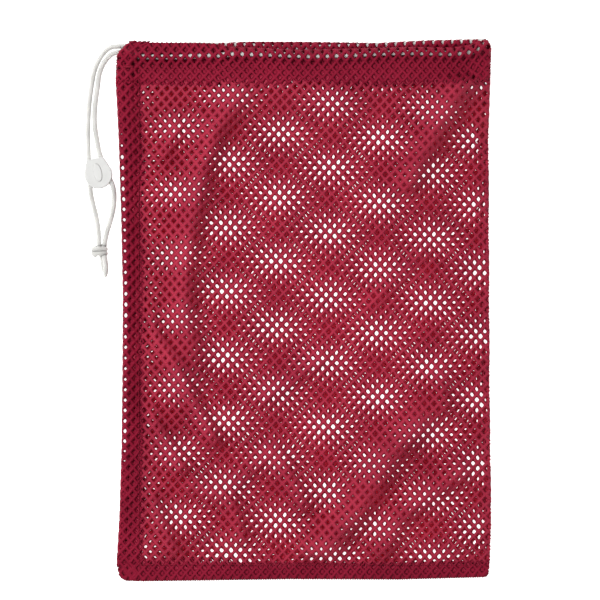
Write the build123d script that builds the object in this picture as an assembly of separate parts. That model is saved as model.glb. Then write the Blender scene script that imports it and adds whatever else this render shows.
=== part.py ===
from build123d import *

import os
from math import cos, pi, radians, sin, tan

# Mesh drawstring sack lying flat on its back, in millimetres.
# +Z is up, +Y points to the mouth, and the origin is the middle of the bag on the surface it lies on.

# Driving dimensions
BAG_W = 305.0  # overall width
BAG_H = 441.5  # overall height, bottom seam to mouth
PLY = 0.6  # one layer of mesh
CORD_D = 4.0  # round drawcord
CASING_H = 26.0  # depth of the casing that the cord runs in
SIDE_STRIP = 20.5  # turned seam allowance along the left side
BOTTOM_STRIP = 15.0  # turned seam allowance along the bottom
FOLD_STRIP = 4.0  # soft fold along the right side
CROWN = 13.6  # how far the front panel stands off the surface in the middle
FIT = 0.2  # room round the cord

# Bag, worked out
LEFT = -BAG_W / 2
RIGHT = BAG_W / 2
TOP = BAG_H / 2
BOTTOM = -BAG_H / 2
SEAM_H = 4 * PLY + 0.2  # four plies sewn flat
PANEL_LEFT = LEFT + SIDE_STRIP
PANEL_RIGHT = RIGHT - FOLD_STRIP
PANEL_BOTTOM = BOTTOM + BOTTOM_STRIP
PANEL_TOP = TOP - CASING_H - 0.8
CASING_LEFT = PANEL_LEFT
CASING_RIGHT = RIGHT - 13.0
MOUTH_Y = TOP - 2.8  # the mouth edge, which dips between its corners
CASING_T = CORD_D + 2 * FIT + 2 * PLY  # outside height of the casing over the cord
CORNER_H = 2 * CASING_T + 0.4  # front casing on back casing
MOUTH_LOW = CASING_T + 0.4  # underside of the front casing at the bag's sides
MOUTH_HIGH = CROWN - 1.0  # and in the middle of the mouth
FRONT_CORD_Y = TOP - 16.0
BACK_CORD_Y = TOP - 6.0
THREAD_W = 0.8
THREAD_H = 0.4

# Cord lock, in its own frame: u across, v along the cord towards the bag
LOCK_AT = (-166.7, 110.9)
LOCK_TILT = 13.0  # degrees, anticlockwise from above
LOCK_TOP = 12.3  # v of the flat upper edge
LOCK_TOP_HALF = 7.6
LOCK_CORNER_R = 2.0
LOCK_R = 11.3  # round lower end, centred a little below the middle
LOCK_ROUND_V = -1.2
LOCK_BASE_T = 1.2
LOCK_ROOF = 9.6
LOCK_GAP = 0.12  # sliding gap round the button
PRESS = 1.6  # travel of the button
CLAMP_T = 1.2
CLAMP_HALF = 8.4
CLAMP_V = (-6.4, 3.0)
BUTTON_W = 6.5
BUTTON_L = 15.0
BUTTON_V = 0.6
BUTTON_PROUD = 0.8
SPRING_WIRE_R = 0.22
SPRING_R = 1.6
SPRING_BORE_R = 2.1
SPRING_ROOF = 8.6
CHANNEL_TOP_U = 5.0
CHANNEL_FLARE = 0.172  # how far each cord channel spreads, across per along

# Lock, worked out
CORD_R = CORD_D / 2
CLAMP_TOP = LOCK_BASE_T + 0.1 + PRESS + CLAMP_T
LOCK_CORD_Z = CLAMP_TOP + 0.05 + CORD_R
CHANNEL_R = CORD_R + 0.25

# Free cord: points of each strand in the plan
LIES_Z = CORD_R + 0.05
EXIT_X = LEFT + 4.5
EXIT_Z = PLY + FIT + CORD_R + 0.1
EXIT_A_Y = 214.1
EXIT_B_Y = 209.6
STRAND_A_ABOVE = [
    (EXIT_X, EXIT_A_Y), (-155.0, 214.3), (-161.7, 210.9), (-167.4, 203.7), (-171.2, 194.3),
    (-173.3, 183.4), (-174.3, 171.5), (-174.9, 159.0), (-175.2, 146.3), (-175.1, 134.4),
]
STRAND_A_BELOW = [(-171.1, 86.4), (-168.6, 76.8), (-167.0, 67.6), (-166.3, 59.4), (-166.2, 52.4)]
STRAND_B_ABOVE = [
    (EXIT_X, EXIT_B_Y), (-154.6, 208.7), (-160.0, 205.3), (-164.4, 199.0), (-167.5, 190.8),
    (-169.5, 181.0), (-170.3, 170.2), (-170.4, 158.9), (-169.5, 147.4), (-167.4, 136.0),
]
STRAND_B_BELOW = [(-153.6, 91.2), (-154.6, 80.8), (-157.3, 70.8), (-160.3, 61.4), (-161.8, 52.4)]
KNOT_AT = (-165.0, 48.2, 4.3)
KNOT_SIZE = (13.4, 9.6, 8.6)
TAIL_A = [(-164.2, 44.6), (-163.9, 40.0), (-163.2, 35.4), (-162.2, 31.0)]
TAIL_B = [(-161.8, 44.2), (-161.2, 38.6), (-160.8, 33.2), (-160.9, 27.9)]
TAIL_STACK = 3.5  # tail b lies on tail a


# Shapes used more than once


def arch(x, low, high):
    """Height fraction across the bag: 0 at both limits and 1 halfway."""
    return 1 - ((2 * x - low - high) / (high - low)) ** 2


def ease(t):
    """Smooth step from 0 to 1."""
    t = min(max(t, 0.0), 1.0)
    return t * t * (3 - 2 * t)


def slab(x0, x1, y0, y1, z0, z1):
    return Pos((x0 + x1) / 2, (y0 + y1) / 2, (z0 + z1) / 2) * Box(x1 - x0, y1 - y0, z1 - z0)


def prism(outline, low, high):
    """Edges that close in the plan, made solid between two heights."""
    return extrude(Pos(0, 0, low) * make_face(outline), amount=high - low)


def ruled(sections):
    """A solid through closed outlines, straight from one to the next."""
    return Solid.make_loft([Wire.make_polygon(points, close=True) for points in sections], ruled=True)


def stations(count=9):
    """Places along the casing where its arch is cut into short straight lengths."""
    step = (CASING_RIGHT - CASING_LEFT) / (count - 1)
    return [CASING_LEFT + k * step for k in range(count)]


def front_under(x):
    """Underside of the front casing, which arches up from the back one to open the mouth."""
    return MOUTH_LOW + (MOUTH_HIGH - MOUTH_LOW) * arch(x, CASING_LEFT, CASING_RIGHT)


def back_under(x):
    """Underside of the back casing, which lies flat."""
    return 0.0


# Cloth


def mesh_back_panel():
    return slab(PANEL_LEFT, PANEL_RIGHT, PANEL_BOTTOM, PANEL_TOP, 0, PLY)


def front_height(x, y):
    """Top of the front panel: low at its seams, crowned inside, and level with the casing's seam."""
    edge_rise = ease((y - PANEL_TOP + 50.0) / 50.0)
    edge = SEAM_H + (MOUTH_LOW + 1.0 - SEAM_H) * edge_rise
    crown_rise = ease((y - PANEL_BOTTOM) / 90.0)
    return edge + (CROWN - edge) * arch(x, PANEL_LEFT, PANEL_RIGHT) * crown_rise


def mesh_front_panel(columns=15, rows=21):
    step_x = (PANEL_RIGHT - PANEL_LEFT) / (columns - 1)
    step_y = (PANEL_TOP - PANEL_BOTTOM) / (rows - 1)
    xs = [PANEL_LEFT + i * step_x for i in range(columns)]
    ys = [PANEL_BOTTOM + j * step_y for j in range(rows)]
    grid = [[Vector(x, y, front_height(x, y)) for y in ys] for x in xs]
    top = Face.make_surface_from_array_of_points(grid, tol=0.02)
    return extrude(top, amount=PLY, dir=(0, 0, -1))


def peak_starts(cord_y):
    """Where the casing reaches its full height, on the seam's side of the cord."""
    return cord_y - CORD_R - FIT - PLY - 2.0


def casing_section(x, under, cord_y, inset):
    """Outline of the folded ply seen along the bag's width: flat below and peaked over the cord."""
    floor = under + inset
    roof = under + CASING_T - inset
    seam_y = PANEL_TOP + 5 * inset
    seam_roof = under + 2 * PLY - 0.9 * inset
    fold_y = MOUTH_Y - inset
    peak_ends = min(cord_y + CORD_R + FIT + PLY - 0.5 * inset, fold_y - 0.4)
    return [
        (x, seam_y, floor),
        (x, fold_y - 0.6, floor),
        (x, fold_y, floor + 0.8),
        (x, fold_y, floor + 2.6),
        (x, peak_ends, roof),
        (x, peak_starts(cord_y) + 0.5 * inset, roof),
        (x, seam_y, seam_roof),
    ]


def casing(under, cord_y):
    """One half of the casing: a folded ply that is open at both ends for the cord."""
    places = stations()
    outer = ruled([casing_section(x, under(x), cord_y, 0.0) for x in places])
    inner = ruled([casing_section(x, under(x), cord_y, PLY) for x in places])
    return outer - inner


def casing_front():
    return casing(front_under, FRONT_CORD_Y)


def casing_back():
    return casing(back_under, BACK_CORD_Y)


def casing_exit_corner(chamfer=11.0):
    """The bunched left end of the casing, open through its length for both strands."""
    edge = LEFT + 1.7
    plan = Polyline(
        (LEFT + 0.6, PANEL_TOP), (CASING_LEFT, PANEL_TOP), (CASING_LEFT, TOP - 2.0),
        (edge + chamfer, TOP - 2.0), (edge, TOP - 2.0 - chamfer), close=True,
    )
    room = Polyline(
        (edge + 1.5, TOP - 20.0), (CASING_LEFT + 1, TOP - 22.0), (CASING_LEFT + 1, TOP - 3.0),
        (edge + chamfer + 0.6, TOP - 3.0), (edge + 1.5, TOP - 3.0 - chamfer), close=True,
    )
    outer = prism(plan.edges(), 0, CORNER_H)
    inner = prism(room.edges(), PLY, CORNER_H - PLY)
    way_out = slab(LEFT - 1, edge + chamfer, EXIT_B_Y - 2.8, EXIT_A_Y + 2.6, PLY, EXIT_Z + CORD_R + 0.5)
    return outer - inner - way_out


def casing_fold_corner():
    """The right end of the casing, where the cord turns back inside the fold."""
    outer = slab(CASING_RIGHT, RIGHT - 0.4, PANEL_TOP, TOP, 0, CORNER_H)
    outer = fillet(outer.edges().filter_by(Axis.Z).group_by(Axis.X)[-1], 4.0)
    inner = slab(CASING_RIGHT - 1, RIGHT - 1.0, PANEL_TOP + 3, TOP - PLY, PLY, CORNER_H - PLY)
    inner = fillet(inner.edges().filter_by(Axis.Z).group_by(Axis.X)[-1], 3.4)
    return outer - inner


def side_seam_allowance():
    """Cut edges turned in and sewn flat, along the left side."""
    outer_edge = Spline(
        (LEFT + 0.6, PANEL_TOP), (LEFT, 186.0), (LEFT + 2.5, 140.0), (LEFT + 4.5, 79.0), (LEFT + 5.9, 12.0),
        (LEFT + 5.5, -60.0), (LEFT + 4.9, -112.0), (LEFT + 3.2, -167.0), (LEFT + 0.9, PANEL_BOTTOM),
    )
    bottom = Line((LEFT + 0.9, PANEL_BOTTOM), (PANEL_LEFT, PANEL_BOTTOM))
    inner_edge = Line((PANEL_LEFT, PANEL_BOTTOM), (PANEL_LEFT, PANEL_TOP))
    top = Line((PANEL_LEFT, PANEL_TOP), (LEFT + 0.6, PANEL_TOP))
    return prism([outer_edge, bottom, inner_edge, top], 0, SEAM_H)


def bottom_seam_allowance():
    """Cut edges turned in and sewn flat, along the bottom."""
    start = (LEFT + 0.9, PANEL_BOTTOM)
    arc_start = (LEFT + 1.6, BOTTOM + 8.7)
    arc_end = (LEFT + 11.5, BOTTOM)
    right_end = (RIGHT - 5.0, BOTTOM + 3.3)
    right_top = (RIGHT - 1.4, PANEL_BOTTOM)
    left = Line(start, arc_start)
    corner = ThreePointArc(arc_start, (LEFT + 4.3, BOTTOM + 2.6), arc_end)
    lower = Spline(arc_end, (-11.0, BOTTOM + 1.7), (78.0, BOTTOM + 1.4), right_end)
    right = ThreePointArc(right_end, (RIGHT - 2.4, BOTTOM + 5.2), (RIGHT - 1.6, BOTTOM + 8.0))
    side = Line((RIGHT - 1.6, BOTTOM + 8.0), right_top)
    upper = Line(right_top, start)
    return prism([left, corner, lower, right, side, upper], 0, SEAM_H)


def side_fold():
    """The sheet's own fold along the right side, where front and back are one piece."""
    outer_edge = Spline(
        (RIGHT - 1.4, PANEL_BOTTOM), (RIGHT, -174.0), (RIGHT - 1.4, -73.0), (RIGHT - 2.0, 65.0),
        (RIGHT - 2.3, 146.0), (RIGHT - 0.9, PANEL_TOP),
    )
    top = Line((RIGHT - 0.9, PANEL_TOP), (PANEL_RIGHT, PANEL_TOP))
    inner_edge = Line((PANEL_RIGHT, PANEL_TOP), (PANEL_RIGHT, PANEL_BOTTOM))
    bottom = Line((PANEL_RIGHT, PANEL_BOTTOM), (RIGHT - 1.4, PANEL_BOTTOM))
    return prism([outer_edge, top, inner_edge, bottom], 0, SEAM_H)


# Thread


def side_seam_stitch():
    x = PANEL_LEFT - 2.5
    return slab(x - THREAD_W, x, PANEL_BOTTOM, PANEL_TOP, SEAM_H, SEAM_H + THREAD_H)


def bottom_seam_stitch():
    y = PANEL_BOTTOM - 2.0
    return slab(PANEL_LEFT - 2.5, PANEL_RIGHT, y - THREAD_W, y, SEAM_H, SEAM_H + THREAD_H)


def casing_stitch(under, cord_y, inside=0.2):
    """Thread line on the casing's sloping top, just inside its seam."""
    slope = (CASING_T - 2 * PLY) / (peak_starts(cord_y) - PANEL_TOP)
    near = PANEL_TOP + inside
    far = near + THREAD_W
    sections = []
    for x in stations():
        low = under(x) + 2 * PLY + 0.02 + slope * inside
        high = low + THREAD_H
        rise = slope * THREAD_W
        sections.append([(x, near, low), (x, far, low + rise), (x, far, high + rise), (x, near, high)])
    return ruled(sections)


def casing_stitch_front():
    return casing_stitch(front_under, FRONT_CORD_Y)


def casing_stitch_back():
    return casing_stitch(back_under, BACK_CORD_Y)


def cord_exit_tack():
    """Bar tack of dense zigzag thread that ends the casing's seam below the cord."""
    return slab(LEFT + 6.0, LEFT + 14.0, PANEL_TOP + 2.0, PANEL_TOP + 4.2, CORNER_H, CORNER_H + 0.5)


# Drawcord


def corner_radii(points):
    """The largest arc that each corner's two runs allow."""
    radii = []
    for before, here, after in zip(points, points[1:], points[2:]):
        run_in = Vector(*here) - Vector(*before)
        run_out = Vector(*after) - Vector(*here)
        half_turn = radians(run_in.get_angle(run_out)) / 2
        radii.append(0.45 * min(run_in.length, run_out.length) / tan(half_turn))
    return radii


def tube(name, points):
    """A round cord along straight runs joined by arcs."""
    radii = corner_radii(points)
    path = FilletPolyline(*points, radius=radii)
    start = Plane(origin=path @ 0, z_dir=path % 0)
    solid = sweep(start * Circle(CORD_R), path=path)
    filled = solid.volume / (pi * CORD_R**2 * path.length)
    print(name, "length", round(path.length, 1), "volume/(section x length)", round(filled, 4))
    print("  radii", [round(radius, 1) for radius in radii])
    return solid


def lock_point(u, v):
    """A point of the lock's own frame, in the plan."""
    turn = radians(LOCK_TILT)
    return (LOCK_AT[0] + u * cos(turn) - v * sin(turn), LOCK_AT[1] + u * sin(turn) + v * cos(turn))


def channel_u(v):
    """How far each cord channel lies from the lock's middle."""
    return CHANNEL_TOP_U + (LOCK_TOP - v) * CHANNEL_FLARE


def strand(name, above, below, side):
    """One free strand: out of the casing, straight through the lock, and down to the knot."""
    points = [(x, y, EXIT_Z) for x, y in above[:2]]
    points += [(x, y, LIES_Z) for x, y in above[2:-1]]
    points += [(*above[-1], LIES_Z + 0.7)]
    points += [(*lock_point(side * channel_u(v), v), LOCK_CORD_Z) for v in (14.6, -14.2)]
    points += [(*below[0], LIES_Z + 0.8)]
    points += [(x, y, LIES_Z) for x, y in below[1:-2]]
    points += [(*below[-2], LIES_Z + 0.6), (*below[-1], KNOT_AT[2] - 0.8)]
    return tube(name, points)


def cord_strand_a():
    return strand("strand a", STRAND_A_ABOVE, STRAND_A_BELOW, -1)


def cord_strand_b():
    return strand("strand b", STRAND_B_ABOVE, STRAND_B_BELOW, 1)


def drawcord_casing_run():
    """The cord inside the casing: along the front, round inside the fold and back along the back."""
    rise = PLY + FIT + CORD_R
    turn_x = RIGHT - 5.6
    points = [(EXIT_X, EXIT_B_Y, EXIT_Z), (CASING_LEFT - 12.0, EXIT_B_Y - 0.6, EXIT_Z + 0.4)]
    points += [(CASING_LEFT - 4.0, FRONT_CORD_Y + 0.3, front_under(CASING_LEFT) + rise - 0.4)]
    points += [(x, FRONT_CORD_Y, front_under(x) + rise) for x in stations()[1:-1]]
    points += [
        (CASING_RIGHT + 0.5, FRONT_CORD_Y + 0.05, front_under(CASING_RIGHT) + rise),
        (turn_x, FRONT_CORD_Y + 1.2, front_under(CASING_RIGHT) + rise - 1.2),
        (turn_x, BACK_CORD_Y - 0.1, rise + 0.1),
        (CASING_LEFT - 4.0, BACK_CORD_Y, rise),
        (EXIT_X, EXIT_A_Y, EXIT_Z),
    ]
    return tube("casing run", points)


def cord_knot():
    """Overhand knot of both strands, as one lump."""
    x, y, z = KNOT_AT
    wide, long, high = KNOT_SIZE
    lump = Pos(x, y, z) * Box(wide, long, high)
    return fillet(lump.edges(), 0.45 * high)


def tail(name, points, lift):
    """Loose end of the cord below the knot, cut and melted to a taper."""
    solid = tube(name, [(x, y, LIES_Z + lift) for x, y in points])
    end = solid.faces().filter_by(GeomType.PLANE).sort_by(Axis.Y)[0]
    return fillet(end.edges(), 0.75 * CORD_R)


def cord_tail_a():
    return tail("tail a", TAIL_A, 0)


def cord_tail_b():
    return tail("tail b", TAIL_B, TAIL_STACK)


# Cord lock


def in_place(solid):
    """From the lock's own frame to its place on the cord."""
    return Pos(*LOCK_AT, 0) * Rot(0, 0, LOCK_TILT) * solid


def lock_outline():
    """Flat upper edge with small corners, widening into a round lower end."""
    corner_u = LOCK_TOP_HALF - LOCK_CORNER_R
    corner_v = LOCK_TOP - LOCK_CORNER_R
    circles = Pos(0, LOCK_ROUND_V) * Circle(LOCK_R)
    corners = [Pos(side * corner_u, corner_v) * Circle(LOCK_CORNER_R) for side in (-1, 1)]
    return make_hull([*circles.edges(), *corners[0].edges(), *corners[1].edges()])


def clamp_room(gap):
    """The clamp plate's outline, grown by a gap."""
    low, high = CLAMP_V
    width = 2 * (CLAMP_HALF + gap)
    return Pos(0, (low + high) / 2) * RectangleRounded(width, high - low + 2 * gap, 1.5)


def button_oval(gap):
    return Pos(0, BUTTON_V) * Ellipse(BUTTON_W / 2 + gap, BUTTON_L / 2 + gap)


def channel(side):
    """Straight hole for one strand."""
    low, high = -LOCK_R - 6, LOCK_TOP + 4
    start = Vector(side * channel_u(low), low, LOCK_CORD_Z)
    way = Vector(side * channel_u(high), high, LOCK_CORD_Z) - start
    return extrude(Plane(origin=start, z_dir=way) * Circle(CHANNEL_R), amount=way.length)


def lock_housing():
    """Upper shell with two cord channels, the clamp's room and the button's hole."""
    shell = extrude(Pos(0, 0, LOCK_BASE_T) * lock_outline(), amount=LOCK_ROOF - LOCK_BASE_T)
    shell = fillet(shell.faces().sort_by(Axis.Z)[-1].edges(), 0.9)
    room = extrude(Pos(0, 0, LOCK_BASE_T) * clamp_room(0.3), amount=CLAMP_TOP + 0.3 - LOCK_BASE_T)
    hole = extrude(Pos(0, 0, LOCK_BASE_T) * button_oval(LOCK_GAP), amount=LOCK_ROOF)
    return in_place(shell - room - hole - channel(-1) - channel(1))


def lock_base():
    """Flat bottom plate that closes the housing, with a stub that centres the spring."""
    plate = extrude(lock_outline(), amount=LOCK_BASE_T)
    plate = fillet(plate.faces().sort_by(Axis.Z)[0].edges(), 0.5)
    stub = Pos(0, BUTTON_V, LOCK_BASE_T + 0.5) * Cylinder(SPRING_R - 0.5, 1.0)
    return in_place(plate + stub)


def lock_button():
    """Oval button with a wing under each strand, which the spring lifts to pinch the cord."""
    wings = extrude(Pos(0, 0, CLAMP_TOP - CLAMP_T) * clamp_room(0), amount=CLAMP_T)
    height = LOCK_ROOF + BUTTON_PROUD - (CLAMP_TOP - CLAMP_T)
    plug = extrude(Pos(0, 0, CLAMP_TOP - CLAMP_T) * button_oval(0), amount=height)
    plug = fillet(plug.faces().sort_by(Axis.Z)[-1].edges(), 0.6)
    bore_height = SPRING_ROOF - LOCK_BASE_T
    bore = Pos(0, BUTTON_V, LOCK_BASE_T + bore_height / 2) * Cylinder(SPRING_BORE_R, bore_height)
    return in_place(wings + plug - bore)


def lock_spring(turns=6):
    """Coil spring between the base and the roof of the button's bore."""
    low = LOCK_BASE_T + SPRING_WIRE_R + 0.02
    high = SPRING_ROOF - SPRING_WIRE_R - 0.02
    path = Pos(0, BUTTON_V, low) * Helix((high - low) / turns, high - low, SPRING_R)
    start = Plane(origin=path @ 0, z_dir=path % 0)
    return in_place(sweep(start * Circle(SPRING_WIRE_R), path=path, is_frenet=True))


NODES = [
    mesh_back_panel, mesh_front_panel, side_fold, side_seam_allowance, bottom_seam_allowance,
    casing_front, casing_back, casing_exit_corner, casing_fold_corner,
    side_seam_stitch, bottom_seam_stitch, casing_stitch_front, casing_stitch_back, cord_exit_tack,
    drawcord_casing_run, cord_strand_a, cord_strand_b, cord_knot, cord_tail_a, cord_tail_b,
    lock_housing, lock_base, lock_button, lock_spring,
]


def main():
    os.makedirs("parts", exist_ok=True)
    for make in NODES:
        export_step(make(), f"parts/{make.__name__}.step")


if __name__ == "__main__":
    main()
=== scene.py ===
from collections import namedtuple
from math import cos, pi, radians, sin

import bpy
import numpy as np
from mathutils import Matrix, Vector


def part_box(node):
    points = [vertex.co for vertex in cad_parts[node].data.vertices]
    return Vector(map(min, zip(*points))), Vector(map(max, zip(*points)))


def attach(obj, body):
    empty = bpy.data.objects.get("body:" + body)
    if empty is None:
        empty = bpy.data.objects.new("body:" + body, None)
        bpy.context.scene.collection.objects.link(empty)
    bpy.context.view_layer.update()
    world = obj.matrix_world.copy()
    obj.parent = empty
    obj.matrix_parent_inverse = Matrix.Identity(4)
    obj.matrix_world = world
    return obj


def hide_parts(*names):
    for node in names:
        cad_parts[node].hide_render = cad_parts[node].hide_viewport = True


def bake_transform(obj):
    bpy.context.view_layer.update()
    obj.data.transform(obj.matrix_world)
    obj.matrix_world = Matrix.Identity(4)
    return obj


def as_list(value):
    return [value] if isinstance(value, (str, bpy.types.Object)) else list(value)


# The looks of a mesh drawstring sack that lies flat on its back, seen from straight above.
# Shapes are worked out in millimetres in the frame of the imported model, and written in metres.

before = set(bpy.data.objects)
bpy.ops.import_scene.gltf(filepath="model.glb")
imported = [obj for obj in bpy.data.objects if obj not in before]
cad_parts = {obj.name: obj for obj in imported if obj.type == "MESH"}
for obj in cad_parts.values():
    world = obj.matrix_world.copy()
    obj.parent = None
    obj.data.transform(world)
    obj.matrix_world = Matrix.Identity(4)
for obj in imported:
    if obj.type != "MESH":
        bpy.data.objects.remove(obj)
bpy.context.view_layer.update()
MM = 0.001


# Places that the frame gives


def corners_of(node):
    """Lowest and highest corner of a node, in millimetres."""
    low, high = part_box(node)
    return np.array(low) / MM, np.array(high) / MM


LEFT = corners_of("side_seam_allowance")[0][0]
RIGHT = corners_of("side_fold")[1][0]
BOTTOM = corners_of("bottom_seam_allowance")[0][1]
TOP = corners_of("casing_fold_corner")[1][1]
PANEL_LOW, PANEL_HIGH = corners_of("mesh_front_panel")
CASING_LOW = corners_of("casing_front")[0]
SEAM_X = PANEL_LOW[0]  # side seam
HEM_Y = PANEL_LOW[1]  # bottom seam
SEAM_Y = PANEL_HIGH[1]  # casing's seam

# Cloth
PLY = 0.6  # thickness of the cloth
PLY_GAP = 0.65  # from one ply to the next where they lie together
FLOOR_GAP = 0.05
SIDE_TURN = 15.5  # cloth turned in along the left side
BOTTOM_TURN = 13.5
FLAP_Y = SEAM_Y - 9.5  # where the casing's turned edge ends
FOLD_WRAP = 7.0  # the front half goes this far round the right fold
BACK_WRAP = -0.5  # and the back half stops this far before it
BACK_INSET = 3.8  # the back's left edge lies this far inside the front's
BACK_FOLD_INSET = 0.4  # and its turn on the right, behind the fold
FOLD_REACH = 1.6  # points this near a fold line are drawn to it
CREASE = 0.8  # the cloth bends over within about this far of a fold line
FOLD_CREASE = 1.8  # and at the rounder right fold of the front
CORD_RISE = 4.6  # how far the cord lifts the cloth over it
CORD_HUMP = 4.5  # and how wide
SIDE_PUFF = 4.6  # how far the side strip stands up along its fold
FLAP_STEP = 1.8  # how far the casing's turned edge lifts the cloth over it
BOTTOM_PUFF = 0.5
OVERLAP = 4.0  # how far the panels go under the sewn strips
TUCK = 0.5  # and how far inside them they lie there
LAP = 1.0  # how far the middle of a strip's hole may lie past the strip's edge

# Holes of the cloth: from one to the next along a row, and from a row to the next but one
ROW, RISE = 7.65, 8.55
FRONT_ROW, FRONT_RISE = (7.69, -0.24), (0.49, 8.56)  # as the panels lie, a little aslant
BACK_ROW, BACK_RISE = (7.617, 0.556), (-0.757, 8.541)
SHARED_HOLE = (-23.2, 91.0)  # here a hole of the front lies on one of the back
HOLE_W, HOLE_H = 3.3, 4.05  # where the cloth lies flat and loose
HOLE_STRAY, HOLE_SPREAD = 0.08, 0.03  # how unevenly the holes lie, and how much their sizes differ
PINCH = 0.12  # share of its size that a hole keeps on a fold line
TURNED_HOLE = 0.5  # and in cloth that is turned in

# Cord
CORD_D = 4.0
EXIT_A = (LEFT + 4.5, 214.1, 2.9)  # where the two strands leave the casing
EXIT_B = (LEFT + 4.5, 209.6, 2.9)
LIES_Z = CORD_D / 2 + FLOOR_GAP  # middle of a cord that lies on the floor
LOCK_CORD_Z = 6.15  # and of one inside the lock
LOCK_AT = (-166.7, 110.9)
LOCK_TILT = radians(13)  # anticlockwise from straight along Y
KNOT_LOW, KNOT_HIGH = corners_of("cord_knot")
KNOT_AT = (KNOT_LOW + KNOT_HIGH) / 2
LOCK_NODES = ("lock_housing", "lock_base", "lock_button", "lock_spring")


# Camera, lights and floor


def set_inputs(shader, values):
    """Sets a shader node's inputs by name."""
    for name, value in values.items():
        shader.inputs[name].default_value = value


def make_camera():
    """Straight above, far enough off for a nearly parallel view."""
    distance = 3.0
    view_width = 0.4878
    view_middle = (-0.00285, 0.00805)
    sensor = 36.0
    data = bpy.data.cameras.new("camera")
    data.sensor_width = sensor
    data.lens = sensor * distance / view_width
    camera = bpy.data.objects.new("camera", data)
    camera.location = (*view_middle, distance)
    bpy.context.scene.collection.objects.link(camera)
    bpy.context.scene.camera = camera


def area_light(name, place, size, watts):
    """A soft square light that looks at the bag's middle."""
    data = bpy.data.lights.new(name, "AREA")
    data.size = size
    data.energy = watts
    light = bpy.data.objects.new(name, data)
    light.location = place
    light.rotation_euler = (-Vector(place)).to_track_quat("-Z", "Y").to_euler()
    bpy.context.scene.collection.objects.link(light)


def make_lights():
    """A strong light from the upper left, a weak one opposite, and an even glow all round."""
    area_light("key", place=(-1.2, 0.55, 1.6), size=0.6, watts=32)
    area_light("fill", place=(1.2, -0.5, 1.9), size=1.6, watts=3)
    world = bpy.data.worlds.new("studio")
    world.use_nodes = True
    set_inputs(world.node_tree.nodes["Background"], {"Color": (1, 1, 1, 1), "Strength": 0.5})
    bpy.context.scene.world = world
    bpy.context.scene.view_settings.view_transform = "Standard"


def make_floor():
    """A white sheet that glows, as a lit studio table does."""
    reach = 4.0
    corners = [(-reach, -reach, 0), (reach, -reach, 0), (reach, reach, 0), (-reach, reach, 0)]
    data = bpy.data.meshes.new("floor")
    data.from_pydata(corners, [], [(0, 1, 2, 3)])
    floor = bpy.data.objects.new("floor", data)
    bpy.context.scene.collection.objects.link(floor)
    material = bpy.data.materials.new("studio_white")
    material.use_nodes = True
    set_inputs(material.node_tree.nodes["Principled BSDF"], {
        "Base Color": (0.9, 0.9, 0.9, 1), "Roughness": 0.9,
        "Emission Color": (1, 1, 1, 1), "Emission Strength": 0.95,
    })
    data.materials.append(material)


# Materials


def node(tree, kind, place=(0, 0), **values):
    """A shader node with some of its inputs or properties set."""
    made = tree.nodes.new(kind)
    made.location = place
    for name, value in values.items():
        if name in made.inputs:
            made.inputs[name].default_value = value
        else:
            setattr(made, name, value)
    return made


def start_material(name):
    """A new node material, its shader and its coordinates in millimetres."""
    material = bpy.data.materials.new(name)
    material.use_nodes = True
    tree = material.node_tree
    shader = tree.nodes["Principled BSDF"]
    coordinates = node(tree, "ShaderNodeTexCoord", (-1200, 0))
    scale = node(tree, "ShaderNodeMapping", (-1000, 0), Scale=[1 / MM] * 3)
    tree.links.new(coordinates.outputs["Object"], scale.inputs["Vector"])
    return material, tree, shader, scale.outputs["Vector"]


def mix(tree, kind, first, second, place):
    """Two values through one maths node."""
    made = node(tree, "ShaderNodeMath", place, operation=kind)
    for socket, value in zip(made.inputs, (first, second)):
        if isinstance(value, (int, float)):
            socket.default_value = value
        else:
            tree.links.new(value, socket)
    return made.outputs[0]


def colour_steps(tree, source, steps, place):
    """A colour ramp over a value: (position, colour) pairs."""
    ramp = node(tree, "ShaderNodeValToRGB", place)
    elements = ramp.color_ramp.elements
    while len(elements) < len(steps):
        elements.new(0.5)
    for element, (position, colour) in zip(elements, steps):
        element.position = position
        element.color = (*colour, 1)
    tree.links.new(source, ramp.inputs["Fac"])
    return ramp.outputs["Color"]


def add_bump(tree, shader, height, strength, distance):
    """Raises the surface by a value times a distance in millimetres."""
    bump = node(tree, "ShaderNodeBump", (-200, -300), Strength=strength, Distance=distance * MM)
    tree.links.new(height, bump.inputs["Height"])
    tree.links.new(bump.outputs["Normal"], shader.inputs["Normal"])


WAVE_LENGTH = 0.314  # from one rib to the next of a wave texture whose scale is 1


def fibres(tree, place_socket, size, direction, distortion):
    """Fine wavy ribs of yarn, size millimetres apart."""
    wave = node(tree, "ShaderNodeTexWave", (-700, -200), bands_direction=direction)
    set_inputs(wave, {
        "Scale": WAVE_LENGTH / size, "Distortion": distortion, "Detail": 2, "Detail Scale": 1.5,
    })
    tree.links.new(place_socket, wave.inputs["Vector"])
    return wave.outputs["Fac"]


def noise(tree, place_socket, scale, detail, place):
    """Soft random spots, scale of them to a millimetre."""
    made = node(tree, "ShaderNodeTexNoise", place, Scale=scale, Detail=detail)
    tree.links.new(place_socket, made.inputs["Vector"])
    return made.outputs["Fac"]


# Dark, middle and light crimson of a single ply, and darker copies of the same crimson for cloth that lies in
# two or more plies: painted shade for the little light that comes through it there
SINGLE_TONES = [(0.40, 0.024, 0.060), (0.53, 0.037, 0.085), (0.65, 0.053, 0.110)]
DOUBLED_SHADED_TONES = [(0.24, 0.005, 0.025), (0.31, 0.008, 0.035), (0.39, 0.013, 0.047)]


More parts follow.
